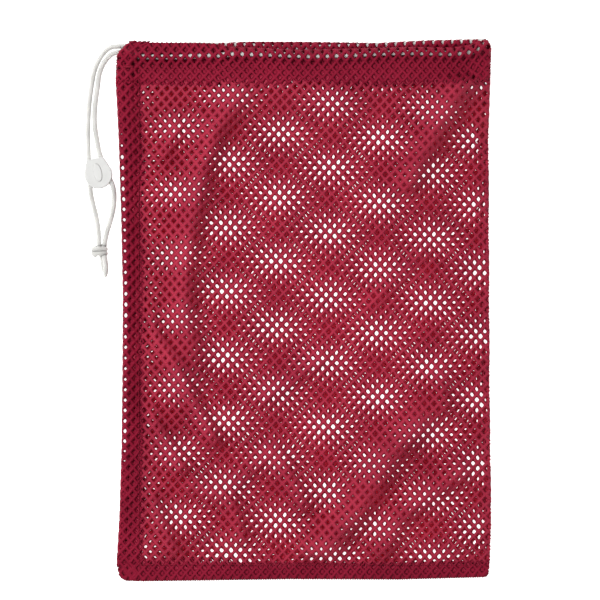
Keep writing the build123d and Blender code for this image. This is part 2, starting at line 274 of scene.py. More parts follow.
def mesh_material(name, tones, see_through):
    """Crimson polyester warp knit: fine ribs of filament, slightly uneven dye, a soft sheen."""
    material, tree, shader, place = start_material(name)
    ribs = fibres(tree, place, 0.42, "DIAGONAL", 3.0)
    cross = fibres(tree, place, 0.55, "Y", 4.0)
    fuzz = noise(tree, place, 3.5, 3, (-700, -500))
    dye = noise(tree, place, 0.035, 3, (-700, 300))
    weave = mix(tree, "MULTIPLY", ribs, cross, (-500, -200))
    weave = mix(tree, "ADD", weave, fuzz, (-350, -200))
    shade = mix(tree, "MULTIPLY", weave, 0.35, (-500, 100))
    shade = mix(tree, "ADD", shade, dye, (-350, 100))
    colour = colour_steps(tree, shade, list(zip((0.25, 0.6, 0.95), tones)), (-200, 100))
    tree.links.new(colour, shader.inputs["Base Color"])
    set_inputs(shader, {
        "Roughness": 0.62, "Specular IOR Level": 0.12,
        "Sheen Weight": 0.05, "Sheen Roughness": 0.4, "Sheen Tint": (1.0, 0.3, 0.4, 1),
    })
    add_bump(tree, shader, weave, strength=0.5, distance=0.12)
    through = node(tree, "ShaderNodeBsdfTranslucent", (100, -200))
    tree.links.new(colour, through.inputs["Color"])
    both = node(tree, "ShaderNodeMixShader", (300, 0))
    both.inputs["Fac"].default_value = see_through
    tree.links.new(shader.outputs["BSDF"], both.inputs[1])
    tree.links.new(through.outputs["BSDF"], both.inputs[2])
    tree.links.new(both.outputs["Shader"], tree.nodes["Material Output"].inputs["Surface"])
    return material


def thread_material():
    """Crimson sewing thread: fine twisted yarn."""
    material, tree, shader, place = start_material("crimson_thread")
    twist = fibres(tree, place, 0.25, "DIAGONAL", 1.0)
    tone = noise(tree, place, 0.4, 2, (-700, 300))
    shade = mix(tree, "ADD", mix(tree, "MULTIPLY", twist, 0.3, (-500, 100)), tone, (-350, 100))
    tones = [(0.3, (0.20, 0.005, 0.020)), (0.9, (0.34, 0.012, 0.040))]
    colour = colour_steps(tree, shade, tones, (-200, 100))
    tree.links.new(colour, shader.inputs["Base Color"])
    set_inputs(shader, {"Roughness": 0.6, "Specular IOR Level": 0.2})
    add_bump(tree, shader, twist, strength=0.5, distance=0.08)
    return material


def cord_material():
    """White braided polyester: each plait is a bundle of fine filaments."""
    material, tree, shader, place = start_material("white_cord")
    filaments = fibres(tree, place, 0.22, "DIAGONAL", 2.0)
    soil = noise(tree, place, 0.09, 3, (-700, 300))
    shade = mix(tree, "ADD", mix(tree, "MULTIPLY", filaments, 0.25, (-500, 100)), soil, (-350, 100))
    tones = [(0.3, (0.53, 0.525, 0.505)), (0.6, (0.59, 0.585, 0.565)), (0.9, (0.65, 0.645, 0.625))]
    colour = colour_steps(tree, shade, tones, (-200, 100))
    tree.links.new(colour, shader.inputs["Base Color"])
    set_inputs(shader, {
        "Roughness": 0.6, "Specular IOR Level": 0.2,
        "Subsurface Weight": 1.0, "Subsurface Radius": (1, 1, 1), "Subsurface Scale": 0.004,
    })
    add_bump(tree, shader, filaments, strength=0.4, distance=0.08)
    return material


def plastic_material():
    """White moulded acetal: satin, very slightly translucent, with a faint moulding grain."""
    material, tree, shader, place = start_material("white_acetal")
    grain = noise(tree, place, 4.0, 4, (-700, -200))
    clouds = noise(tree, place, 0.12, 2, (-700, 300))
    tones = [(0.3, (0.64, 0.64, 0.625)), (0.7, (0.70, 0.70, 0.685))]
    colour = colour_steps(tree, clouds, tones, (-200, 100))
    rough = mix(tree, "ADD", mix(tree, "MULTIPLY", grain, 0.16, (-500, -50)), 0.30, (-350, -50))
    tree.links.new(colour, shader.inputs["Base Color"])
    tree.links.new(rough, shader.inputs["Roughness"])
    set_inputs(shader, {
        "Subsurface Weight": 0.08, "Subsurface Radius": (0.002, 0.002, 0.002), "Coat Weight": 0.1,
    })
    add_bump(tree, shader, grain, strength=0.12, distance=0.04)
    return material


def steel_material():
    """Drawn spring wire with faint lines along its length."""
    material, tree, shader, place = start_material("spring_wire")
    lines = noise(tree, place, 9.0, 2, (-700, -200))
    tones = [(0.3, (0.38, 0.38, 0.40)), (0.7, (0.56, 0.56, 0.58))]
    colour = colour_steps(tree, lines, tones, (-200, 100))
    tree.links.new(colour, shader.inputs["Base Color"])
    set_inputs(shader, {"Metallic": 1.0, "Roughness": 0.3})
    add_bump(tree, shader, lines, strength=0.2, distance=0.03)
    return material


# Pieces


def add_piece(name, points, faces, material, slot, body, replaces=()):
    """A mesh from points in millimetres, which rides on a body and stands for some nodes.

    Its quads are smooth and its end caps, which are triangles, are flat.
    """
    data = bpy.data.meshes.new(name)
    data.from_pydata((np.asarray(points) * MM).tolist(), [], [list(map(int, face)) for face in faces])
    data.polygons.foreach_set("use_smooth", [len(polygon.vertices) == 4 for polygon in data.polygons])
    data.materials.append(material)
    data.update()
    piece = bpy.data.objects.new(name, data)
    bpy.context.scene.collection.objects.link(piece)
    if body:
        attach(piece, body)
    if replaces:
        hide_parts(*replaces)
    return piece


# Tubes along splines


def spline_line(points):
    """Points read from the NURBS spline that has the route's points as its control points."""
    data = bpy.data.curves.new("route", "CURVE")
    data.dimensions = "3D"
    spline = data.splines.new("NURBS")
    spline.points.add(len(points) - 1)
    for control, point in zip(spline.points, points):
        control.co = (*point, 1)
    spline.order_u = 3
    spline.use_endpoint_u = True
    spline.resolution_u = 16
    holder = bpy.data.objects.new("route", data)
    mesh = bpy.data.meshes.new_from_object(holder)
    line = np.array([vertex.co for vertex in mesh.vertices])
    bpy.data.meshes.remove(mesh)
    bpy.data.objects.remove(holder)
    bpy.data.curves.remove(data)
    return line


def evenly(line, step):
    """The same line with its points about step apart."""
    along = np.concatenate([[0], np.cumsum(np.linalg.norm(np.diff(line, axis=0), axis=1))])
    count = max(int(along[-1] / step), 4)
    places = np.linspace(0, along[-1], count + 1)
    return np.column_stack([np.interp(places, along, line[:, axis]) for axis in range(3)]), places


def frames_along(line):
    """Two directions across the line at each point, carried along without twisting."""
    ways = np.gradient(line, axis=0)
    ways /= np.linalg.norm(ways, axis=1)[:, None]
    across = np.cross(ways[0], (0, 0, 1))
    if np.linalg.norm(across) < 0.1:
        across = np.cross(ways[0], (0, 1, 0))
    sides = []
    for way in ways:
        across = across - way * across.dot(way)
        across = across / np.linalg.norm(across)
        sides.append(across)
    sides = np.array(sides)
    return sides, np.cross(ways, sides)


def ring_faces(rings, around):
    """Quads between rings of points, and a fan at each end to a point that comes after the rings."""
    faces = []
    for ring in range(rings - 1):
        for k in range(around):
            n = (k + 1) % around
            here, there = ring * around, (ring + 1) * around
            faces.append((here + k, here + n, there + n, there + k))
    first, last = rings * around, rings * around + 1
    base = (rings - 1) * around
    faces += [(first, (k + 1) % around, k) for k in range(around)]
    faces += [(last, base + k, base + (k + 1) % around) for k in range(around)]
    return faces


PLAITS = 8  # bundles each way round the cord
AROUND = 32  # points in a ring


def blunt(distance, taper):
    """Share of the full radius at a distance from an end that is rounded off over the taper."""
    if not taper:
        return np.ones_like(distance)
    return np.sqrt(np.clip(1 - np.clip(1 - distance / taper, 0, 1) ** 2, 0.02, 1))


def tube(line, size, around):
    """Points of a tube with its own radius at each point of the line, and of its two ends' middles."""
    sides, ups = frames_along(line)
    angle = np.linspace(0, 2 * pi, around, endpoint=False)
    out = np.cos(angle)[None, :, None] * sides[:, None] + np.sin(angle)[None, :, None] * ups[:, None]
    points = line[:, None] + size[..., None] * out
    return np.concatenate([points.reshape(-1, 3), line[:1], line[-1:]])


def braided(line, radius, step=0.4, relief=0.055, taper_start=0.0, taper_end=0.0):
    """Points and faces of a braided tube along a line, with diamond plaits raised on it."""
    line, along = evenly(line, step)
    angle = np.linspace(0, 2 * pi, AROUND, endpoint=False)
    lead = along[:, None] / radius
    plait = np.cos(PLAITS / 2 * (angle + lead)) * np.cos(PLAITS / 2 * (angle - lead))
    ends = blunt(along, taper_start) * blunt(along[-1] - along, taper_end)
    size = radius * (1 + relief * (np.abs(plait) * 2 - 1)) * ends[:, None]
    return tube(line, size, AROUND), ring_faces(len(line), AROUND)


def joined(parts):
    """Several (points, faces) as one."""
    points, faces, base = [], [], 0
    for part_points, part_faces in parts:
        points.append(part_points)
        faces += [tuple(index + base for index in face) for face in part_faces]
        base += len(part_points)
    return np.concatenate(points), faces


# Drawcord


def lock_point(u, v):
    """A point of the lock's own frame, in the plan."""
    return (
        LOCK_AT[0] + u * cos(LOCK_TILT) - v * sin(LOCK_TILT),
        LOCK_AT[1] + u * sin(LOCK_TILT) + v * cos(LOCK_TILT),
    )


CHANNEL_VS = (14.6, 7.0, -6.5, -14.2)  # where the route has points along a channel


def channel_point(side, v):
    """Where one strand runs inside the lock, whose channels spread downwards."""
    top_v, top_u, flare = 12.3, 5.0, 0.172
    return (*lock_point(side * (top_u + (top_v - v) * flare), v), LOCK_CORD_Z)


STRAND_A_ABOVE = [
    EXIT_A, (-154.6, 214.3, 2.9), (-160.6, 211.1, LIES_Z), (-166.1, 203.9, LIES_Z), (-170.1, 194.3, LIES_Z),
    (-172.1, 183.4, LIES_Z), (-173.7, 171.5, LIES_Z), (-174.9, 159.0, LIES_Z), (-175.2, 146.3, LIES_Z),
    (-175.1, 134.4, LIES_Z + 0.7),
]
STRAND_A_BELOW = [
    (-171.1, 86.4, LIES_Z + 0.8), (-168.6, 76.8, LIES_Z), (-167.0, 67.6, LIES_Z),
    (-166.3, 59.4, LIES_Z + 0.6), (-166.2, 52.4, 3.5),
]
STRAND_B_ABOVE = [
    EXIT_B, (-154.2, 208.8, 2.9), (-158.8, 205.4, LIES_Z), (-163.1, 199.3, LIES_Z), (-166.2, 190.8, LIES_Z),
    (-167.2, 181.0, LIES_Z), (-168.9, 170.2, LIES_Z), (-169.9, 158.9, LIES_Z), (-169.5, 147.4, LIES_Z),
    (-167.4, 136.0, LIES_Z + 0.7),
]
STRAND_B_BELOW = [
    (-153.6, 91.2, LIES_Z + 0.8), (-154.6, 80.8, LIES_Z), (-157.3, 70.8, LIES_Z),
    (-160.3, 61.4, LIES_Z + 0.6), (-161.8, 52.4, 3.5),
]
CASING_FRONT = [
    (-144.0, 209.4, 2.9), (-140.0, 207.6, 3.4), (-134.5, 205.1, 8.3), (-98.0, 204.8, 11.7),
    (-64.1, 206.6, 13.8), (-30.2, 207.4, 15.0), (3.8, 205.0, 15.4), (37.7, 206.0, 15.0), (71.6, 208.4, 13.8),
    (105.6, 208.0, 11.7), (130.0, 207.5, 9.6), (140.5, 210.0, 8.4), (146.9, 213.4, 7.0),
]
CASING_BACK = [
    (147.4, 218.0, 4.2), (141.0, 218.2, 2.9), (118.0, 217.2, 2.8), (84.0, 215.8, 2.8), (50.0, 214.6, 2.8),
    (16.0, 213.2, 2.8), (-18.0, 212.4, 2.8), (-50.0, 215.4, 2.8), (-90.0, 215.6, 2.8), (-136.0, 214.7, 2.8),
    EXIT_A,
]
TAIL_A = [(-163.9, 44.6, 2.05), (-163.4, 40.0, 2.05), (-162.5, 35.4, 2.05), (-161.9, 30.0, 2.05)]
TAIL_B = [(-161.6, 44.2, 5.55), (-160.7, 38.6, 5.5), (-160.3, 32.4, 5.0), (-161.1, 26.0, 3.6)]

PULLED_R = 1.85  # radius of the cord where it is pulled tight round the knot
CORE_R = 1.55  # where it is squeezed inside the knot
STUB_R = 1.45
TAIL_R = 2.05  # and where its ends are loose and swell a little


def strand_route(above, below, side):
    """Out of the casing, straight through the lock and down to the knot."""
    return above + [channel_point(side, v) for v in CHANNEL_VS] + below


def knot_wrap():
    """Two turns of the cord round the pair, rising towards the bag, pulled flat."""
    turns, count = 2.15, 27
    half_w, half_h, pitch = 5.3, 2.6, 3.5
    first, aslant = -0.3 * pi, 0.9
    x, y, z = KNOT_AT - (0.7, 0, 0)
    route = []
    for t in np.linspace(0, 1, count):
        turn = 2 * pi * turns * t + first
        up = pitch * turns * (t - 0.5) + aslant * cos(turn)
        route.append((x + half_w * cos(turn), y + up, z + half_h * sin(turn)))
    return braided(spline_line(route), PULLED_R, relief=0.07, taper_start=1.8, taper_end=1.8)


def make_knot(material):
    """Overhand knot: the pair goes through the middle of its own two turns."""
    in_plan = KNOT_AT * (1, 1, 0)
    core_a = in_plan + [(-1.2, 4.2, 3.5), (-1.4, 1.5, 4.2), (-0.8, -1.5, 4.0), (0.8, -3.6, 2.05)]
    core_b = in_plan + [(3.2, 4.2, 3.5), (1.7, 1.5, 4.4), (1.9, -1.5, 4.8), (3.2, -4.0, 5.55)]
    stub = in_plan + [(-2.6, -2.6, 3.4), (-4.4, -4.2, 2.9), (-5.2, -5.2, 2.5)]
    parts = [
        knot_wrap(),
        braided(spline_line(core_a), CORE_R),
        braided(spline_line(core_b), CORE_R),
        braided(spline_line(stub), STUB_R, taper_end=1.2),
    ]
    points, faces = joined(parts)
    points[:, 2] = np.maximum(points[:, 2], FLOOR_GAP)
    return add_piece("cord_knot_tied", points, faces, material, "cord", "drawcord", ["cord_knot"])


def make_tail(name, route, material):
    """A loose end, melted to a blunt taper."""
    points, faces = braided(spline_line(route), TAIL_R, taper_end=5.5)
    return add_piece(name + "_end", points, faces, material, "cord", "drawcord", [name])


def make_cords(material):
    """The two strands, the knot tied on them with its two loose ends, and the run inside the casing."""
    knot = make_knot(material)
    tails = [make_tail("cord_tail_a", TAIL_A, material), make_tail("cord_tail_b", TAIL_B, material)]
    lock = [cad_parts[name] for name in LOCK_NODES]
    strands = [
        ("cord_strand_a", STRAND_A_ABOVE, STRAND_A_BELOW, -1, 0.1774, [knot, *tails, *lock]),
        ("cord_strand_b", STRAND_B_ABOVE, STRAND_B_BELOW, 1, 0.1725, [knot]),
    ]
    for name, above, below, side, length, pieces in strands:
        line = spline_line(strand_route(above, below, side))
        points, faces = braided(line, CORD_D / 2)
        piece = add_piece(name + "_braid", points, faces, material, "cord", "drawcord", [name])
        [c * MM for c in above[0]]
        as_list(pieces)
    points, faces = braided(spline_line([EXIT_B, *CASING_FRONT, *CASING_BACK]), CORD_D / 2, step=0.6)
    inside = add_piece("drawcord_in_casing", points, faces, material, "cord", None, ["drawcord_casing_run"])
    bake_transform(inside)


# Outline of the bag


def side_left(y):
    """The left edge, which draws in between its corners."""
    corner = [BOTTOM, BOTTOM + 2.5, BOTTOM + 7]
    ys = [*corner, -206, -167, -112, -60, 12, 79, 140, 186, 204, 207.5, 212.5, 218.8]
    xs = [9.5, 4.5, 1.7, 0.9, 3.2, 4.9, 5.5, 5.9, 4.5, 2.5, 0.3, 0.8, 1.3, 5.5, 11.5]
    return LEFT + np.interp(y, ys, xs)


def side_right(y):
    """The fold on the right."""
    ys = [BOTTOM + 3, BOTTOM + 6, -206, -174, -73, 65, 146, 194, 212, TOP - 3, TOP]
    xs = [5.0, 2.4, 1.4, 0.0, 1.4, 2.0, 2.3, 0.9, 0.4, 1.8, 5.0]
    return RIGHT - np.interp(y, ys, xs)


def bottom_edge(x):
    """The fold along the bottom, the same for both halves."""
    xs = [LEFT, -130, -11, 78, RIGHT]
    ys = [0.8, 0, 1.7, 1.4, 3.5]
    return BOTTOM + np.interp(x, xs, ys)


def front_mouth(x):
    """The mouth edge of the front half, which sinks below the back's to the right of the cord's exit."""
    xs = [-141, -134, -84, -72, -58, -35, -8, 14, 58, 87, 119, 135, 143, RIGHT]
    ys = [218.8, 217.6, 216.9, 216.3, 213.6, 212.3, 210.9, 211.2, 212.3, 213.2, 212.9, 215.2, 218.8, 219.6]
    return np.interp(x, xs, ys)


def back_mouth(x):
    """The mouth edge of the back half."""
    xs = [-141, -84, -44, -3, 60, 100, RIGHT]
    ys = [217.6, 216.6, 218.2, 218.2, 217.2, 219.3, 220.6]
    return np.interp(x, xs, ys)


def cord_line(points):
    """Y of the cord in the casing over x, from its route."""
    xs, ys, _ = np.array(sorted(points)).T

    def line(x):
        return np.interp(x, xs, ys)

    return line


front_cord = cord_line(CASING_FRONT)
back_cord = cord_line(CASING_BACK)


# Heights of the cloth


def ease(t):
    """From 0 to 1, smoothly, as t goes from 0 to 1."""
    t = np.clip(t, 0, 1)
    return t * t * (3 - 2 * t)


def arch(x, low, high):
    """1 in the middle between low and high, falling to 0 at both."""
    return np.clip(1 - ((2 * x - low - high) / (high - low)) ** 2, 0, 1)


SEAM_TOP = corners_of("side_seam_allowance")[1][2]
CROWN = PANEL_HIGH[2]
MOUTH_LEVEL = CASING_LOW[2] + 1.0  # top of the front panel where the casing starts, at the sides


def front_level(x, y):
    """Middle of the front's outer ply, with no cord under it."""
    mouth_reach, crown_reach = 50, 90  # how far from the casing and from the bottom the cloth slopes
    edge = SEAM_TOP + (MOUTH_LEVEL - SEAM_TOP) * ease((y - SEAM_Y + mouth_reach) / mouth_reach)
    crown_rise = ease((y - HEM_Y) / crown_reach)
    crown = (CROWN - edge) * arch(x, SEAM_X, PANEL_HIGH[0]) * crown_rise
    flap = ease((y - FLAP_Y + 3) / 5) * ease((SEAM_Y + 4 - y) / 6)
    return edge + crown + FLAP_STEP * flap - PLY / 2


def hump(y, centre):
    """How much of the cord's lift the cloth has, either side of the cord."""
    return np.exp(-(((y - centre) / CORD_HUMP) ** 2))


def inside_casing(y):
    """0 below the casing's seam, 1 from a little above it."""
    return ease((y - SEAM_Y + 1) / 6)


def puff(x, y):
    """The side strip stands up along its fold and slopes down to its seam; the bottom one is a low roll."""
    side = ease((x - side_left(y)) / 1.8) * ease((SEAM_X - x) / 11)
    lower_share, lower_end = 0.35, -150  # it is lower near the bottom
    side = side * (lower_share + (1 - lower_share) * ease((y - lower_end) / 120))
    side = side * ease((y - HEM_Y) / 20) * ease((213 - y) / 10)
    bottom = arch(y, bottom_edge(x), HEM_Y) * ease((x - SEAM_X) / 10)
    return SIDE_PUFF * side + BOTTOM_PUFF * bottom


def front_height(x, y, over_top):
    """Middle of the front's cloth: its outer ply where over_top is 0, and its turned one where it is 1."""
    over_cord = CORD_RISE * hump(y, front_cord(x)) * inside_casing(y)
    outer = front_level(x, y) + over_cord + front_folds(x, y) + puff(x, y)
    inner = front_level(x, y) - PLY_GAP
    return outer + (inner - outer) * over_top


def back_height(x, y, over_top):
    """The same for the back, whose outer ply lies on the floor."""
    outer = FLOOR_GAP + PLY / 2 + np.zeros_like(x, dtype=float)
    inner = outer + PLY_GAP + (CORD_RISE - 0.3) * hump(y, back_cord(x)) * inside_casing(y)
    return outer + (inner - outer) * over_top


# Soft folds of the front. Each is a ridge whose right side, going along it, falls away steeply:
# its points, its height, and how wide its gentle and its steep side are.
FOLDS = [
    (
        [(-84, -80), (-90, -42), (-96, 0), (-96, 35), (-90, 73), (-81, 116), (-71, 146), (-50, 176),
         (-38, 190)],
        16, 13.5, 10.5,
    ),
    ([(-66, -116), (-74, -102), (-103, -48), (-130, -2), (-138, 12)], 14, 10, 7),
    ([(76, 88), (85, 104), (107, 147), (123, 174), (150, 207)], 15, 13, 9.5),
    ([(0, -212), (9, -203), (44, -160), (71, -116), (95, -89), (112, -76)], 15, 16, 11.5),
    ([(56, -206), (62, -200), (78, -168), (125, -133), (140, -124)], 10, 11, 8),
    ([(-94, -136), (-100, -125), (-125, -84), (-131, -72)], 9, 8, 6),
    ([(-48, -194), (-50, -184), (-60, -152), (-91, -141), (-100, -137)], 8.5, 9, 6),
    ([(-96, -218), (-101, -208), (-122, -156), (-129, -140)], 9, 8, 6.5),
    ([(4, -168), (-1, -156), (-22, -113), (-29, -100)], 9, 10, 6.5),
    ([(-60, -146), (-50, -137), (-31, -118), (-23, -110)], 6.5, 8, 6),
    ([(-40, -80), (-27, -68), (11, -43), (24, -34)], 6, 9, 6),
    ([(46, -4), (60, 10), (90, 40), (104, 54)], 5, 9, 6),
    ([(113, -90), (113, -40)], 7, 8, 6),
    ([(-118, 118), (-98, 156)], 8, 8, 6.5),
]


def distance_to_line(x, y, points):
    """Distance to a run of straight lines, more than 0 to its right, and how far along it that is, 0 to 1."""
    best = np.full(np.shape(x), np.inf)
    side = np.ones(np.shape(x))
    where = np.zeros(np.shape(x))
    pieces = len(points) - 1
    for k, ((ax, ay), (bx, by)) in enumerate(zip(points, points[1:])):
        length = (bx - ax) ** 2 + (by - ay) ** 2
        t = np.clip(((x - ax) * (bx - ax) + (y - ay) * (by - ay)) / length, 0, 1)
        away = np.hypot(x - ax - t * (bx - ax), y - ay - t * (by - ay))
        right = (x - ax) * (by - ay) - (y - ay) * (bx - ax) > 0
        nearer = away < best
        where = np.where(nearer, (k + t) / pieces, where)
        side = np.where(nearer, np.where(right, 1, -1), side)
        best = np.minimum(best, away)
    return best * side, where


def front_folds(x, y):
    """Height of the soft folds, which fade out at both their ends and at the edges of the panel."""
    ends = 4  # each rises over the first quarter of its length and sinks over the last
    height = np.zeros_like(x, dtype=float)
    for points, rise, gentle, steep in FOLDS:
        away, where = distance_to_line(x, y, points)
        width = np.where(away > 0, steep, gentle)
        fade = ease(where * ends) * ease((1 - where) * ends)
        height = height + rise * np.exp(-((away / width) ** 2)) * fade
    inside = ease((x - SEAM_X) / 12) * ease((PANEL_HIGH[0] - x) / 8) * ease((y - HEM_Y) / 12)
    return height * inside * ease((SEAM_Y - y) / 12)


# Cloth from flat to folded


def turned(ahead, softness):
    """How far from a fold line cloth ahead of it lies once folded, and its share turned over."""
    over = np.tanh(ahead / softness)
    return ahead * over, (1 - over) / 2


def fold_plan(u, v, mouth, inset):
    """Folds the mouth, the bottom and, an inset further in, the left side of a flat half."""
    away, over_top = turned(mouth(u) - v, CREASE)
    y = mouth(u) - away
    away, over_bottom = turned(y - bottom_edge(u), CREASE)
    y = bottom_edge(u) + away
    left = side_left(y) + inset
    away, over_left = turned(u - left, CREASE)
    return left + away, y, over_top, over_bottom, over_left


def onto_folds(u, v, mouth, inset, right_inset):
    """Draws points that lie almost on a fold line onto it, so that the folded edge is smooth."""

    def drawn(ahead):
        return ahead * ease(np.abs(ahead) / FOLD_REACH)

    v = mouth(u) + drawn(v - mouth(u))
    v = bottom_edge(u) + drawn(v - bottom_edge(u))
    left, right = side_left(v) + inset, side_right(v) - right_inset
    u = left + drawn(u - left)
    return right + drawn(u - right), v


def from_folds(u, v, mouth, inset, right_inset):
    """Distance to the nearest fold line."""
    lines = (v - mouth(u), v - bottom_edge(u), u - side_left(v) - inset, u - side_right(v) + right_inset)
    return np.min(np.abs(lines), axis=0)


def turned_by(u, v, mouth, inset):
    """How far past a fold line the turned cloth is."""
    return np.max((v - mouth(u), bottom_edge(u) - v, side_left(v) + inset - u), axis=0)


def turned_in(x, over_top, over_bottom, over_left):
    """How far inside the outer ply a point of a turned edge lies."""
    corner = ease((SEAM_X - x) / 4)
    bottom = over_bottom * (1 + 2 * corner * (1 - over_left))
    return (over_left * (1 - 2 * over_top) + bottom) * PLY_GAP


def tucked(x, y):
    """How far a panel's margin lies inside the strip sewn over it."""
    return TUCK * (1 - ease((x - SEAM_X) / 2) * ease((y - HEM_Y) / 2) * ease((FLAP_Y - y) / 2))


def back_place(u, v):
    """Where a point of the back half's flat cloth lies."""
    x, y, over_top, over_bottom, over_left = fold_plan(u, v, back_mouth, BACK_INSET)
    right = side_right(y) - BACK_FOLD_INSET
    away, over_right = turned(right - x, CREASE)
    x = right - away
    z = back_height(x, y, over_top) + turned_in(x, over_top, over_bottom, over_left) + PLY_GAP * over_right
    return np.stack([x, y, z], -1)


def front_place(u, v):
    """The same for the front half, whose cloth goes round the right fold on to the back's level."""
    x, y, over_top, over_bottom, over_left = fold_plan(u, v, front_mouth, 0)
    away, over_right = turned(side_right(y) - x, FOLD_CREASE)
    x = side_right(y) - away
    z = front_height(x, y, over_top) - turned_in(x, over_top, over_bottom, over_left)
    wrapped = back_height(x, y, over_top) + PLY_GAP
    return np.stack([x, y, z + (wrapped - z) * over_right], -1)


def across(place, u, v):
    """Unit normal of the cloth."""
    step = 0.05  # mm
    du = place(u + step, v) - place(u - step, v)
    dv = place(u, v + step) - place(u, v - step)
    normal = np.cross(du, dv)
    return normal / np.maximum(np.linalg.norm(normal, axis=-1), 1e-9)[..., None]


# Perforated cloth

# A cell is the rhombus round one hole. This is its outline, in eighths of a row and of a rise.
OUTLINE = [
    (4, 0), (3, 1), (1, 3), (0, 4), (-1, 3), (-3, 1),
    (-4, 0), (-3, -1), (-1, -3), (0, -4), (1, -3), (3, -1),
]
CORNERS = len(OUTLINE)
HOLE_ANGLES = np.array([np.arctan2(rise, row) for row, rise in OUTLINE])


def every_cell(reach=90):
    """Grid places of every hole near the bag, in eighths of a row and of a rise."""
    i, j = np.meshgrid(np.arange(-reach, reach + 1), np.arange(-reach, reach + 1), indexing="ij")
    keep = (i + j) % 2 == 0
    return np.column_stack([i[keep], j[keep]]) * 4


def even_places(steps):
    """Grid places in millimetres, before the cloth is skewed or bent."""
    return np.array([steps[..., 0] / 8 * ROW, steps[..., 1] / 8 * RISE])


def panel_grain(row, rise):
    """From the even grid to a panel, whose rows and columns have skewed a little."""

    def grain(s, t):
        along_row, along_rise = s / ROW, t / RISE
        u = SHARED_HOLE[0] + along_row * row[0] + along_rise * rise[0]
        return u, SHARED_HOLE[1] + along_row * row[1] + along_rise * rise[1]

    return grain


def edge_grain(edge, shift):
    """Rows follow a fold, the mouth's or the bottom's, which runs between two of them."""

    def grain(s, t):
        u = s + shift
        return u, edge(u) + t - RISE / 4

    return grain


def side_grain(shift, slip, inset):
    """Columns follow the side's fold, with one on it. The turned ply slips along the outer one.

    Next to the fold it slips least halfway up, where the holes of both lie on each other.
    """

    def grain(s, t):
        halfway = ease((t + 150) / 50) * ease((150 - t) / 40)
        wander = 1.4 * np.sin(t / 31)
        slipped = wander * halfway + RISE / 2 * (1 - halfway)
        beside_fold = ease(-s / 2) * ease((s + 8) / 3)
        v = t + shift + slip * np.maximum(-s - 5, 0) + slipped * beside_fold
        drawn = 1.2 * np.tanh(s / 1.5)  # the columns either side are drawn to the fold
        return side_left(v) + inset + s - drawn, v

    return grain


def slack(x, y):
    """Share of its size that a hole keeps where the seam and the casing gather the cloth."""
    return 1 - 0.13 * ease((-90 - x) / 30) - 0.1 * ease((y - 130) / 40)


def creased_slack(x, y):
    """The same for the front, whose folds close its holes further, the most where they are high."""
    closed, high = 0.42, 11
    return slack(x, y) * (1 - closed * np.clip(front_folds(x, y) / high, 0, 1))


def cloth(cells, grain, place, fold_lines, keeps, seed):
    """Points and faces of the cells: two skins that meet round each hole, closed at the rim."""
    random = np.random.default_rng(seed)

    def flat(s, t):
        return onto_folds(*grain(s, t), *fold_lines)

    outline = cells[:, None, :] + np.array(OUTLINE)[None]
    keys, index = np.unique(outline.reshape(-1, 2), axis=0, return_inverse=True)
    index = index.reshape(len(cells), CORNERS)
    rim = flat(*even_places(keys))
    middle_s, middle_t = even_places(cells) + random.normal(0, HOLE_STRAY, (2, len(cells)))
    middle_flat = grain(middle_s, middle_t)
    fold_away = from_folds(*middle_flat, *fold_lines)
    inner = ease((turned_by(*middle_flat, *fold_lines[:2]) - 4) / 3)
    size = 1 + random.normal(0, HOLE_SPREAD, len(cells))
    size = size * (1 - (1 - TURNED_HOLE) * inner) * keeps(*middle_flat)
    width = size * HOLE_W / 2 * (PINCH + (1 - PINCH) * ease((fold_away - 0.8) / 2.4))
    height = size * HOLE_H / 2 * (PINCH + (1 - PINCH) * ease((fold_away + 0.4) / 2.2))
    hole = flat(
        (middle_s[:, None] + width[:, None] * np.cos(HOLE_ANGLES)).ravel(),
        (middle_t[:, None] + height[:, None] * np.sin(HOLE_ANGLES)).ravel(),
    )
    middle = place(*rim)
    normal = across(place, *rim)
    upper, lower = middle + normal * PLY / 2, middle - normal * PLY / 2
    rims = len(keys)
    after = np.roll(index, -1, axis=1)
    ring = 2 * rims + np.arange(len(cells) * CORNERS).reshape(len(cells), CORNERS)
    ring_after = np.roll(ring, -1, axis=1)
    top_faces = np.stack([index, after, ring_after, ring], -1).reshape(-1, 4)
    bottom_faces = np.stack([index + rims, ring, ring_after, after + rims], -1).reshape(-1, 4)
    pairs = np.stack([index.ravel(), after.ravel()], -1)
    _, first, uses = np.unique(np.sort(pairs, axis=1), axis=0, return_index=True, return_counts=True)
    edge = pairs[first[uses == 1]]
    walls = np.stack([edge[:, 1], edge[:, 0], edge[:, 0] + rims, edge[:, 1] + rims], -1)
    points = np.concatenate([upper, lower, place(*hole)])
    return points, np.concatenate([top_faces, bottom_faces, walls])


# One half of the sheet: how its rows and columns lie, how it is folded, how far its left and right folds
# lie inside the front's, how far it goes round the right one, how its strips' holes lie, how far they have
# slipped where they are turned in, what share of their size they keep, which way is into the bag, and the
# seed of its unevenness.
Half = namedtuple("Half", "name row rise place mouth inset fold_inset wrap shift slip keeps inward seed")
BACK = Half(
    "back", BACK_ROW, BACK_RISE, back_place, back_mouth, BACK_INSET, BACK_FOLD_INSET, BACK_WRAP,
    shift=2.0, slip=-0.3, keeps=slack, inward=1, seed=20,
)
FRONT = Half(
    "front", FRONT_ROW, FRONT_RISE, front_place, front_mouth, 0.0, 0.0, FOLD_WRAP,
    shift=0.0, slip=0.3, keeps=creased_slack, inward=-1, seed=40,
)


def in_width(half, u, v):
    """Whether a place of the flat cloth is between the left side's cut edge and the right fold."""
    y = half.mouth(u) - np.abs(half.mouth(u) - v)
    return (u > side_left(y) + half.inset - SIDE_TURN) & (u < side_right(y) + half.wrap)


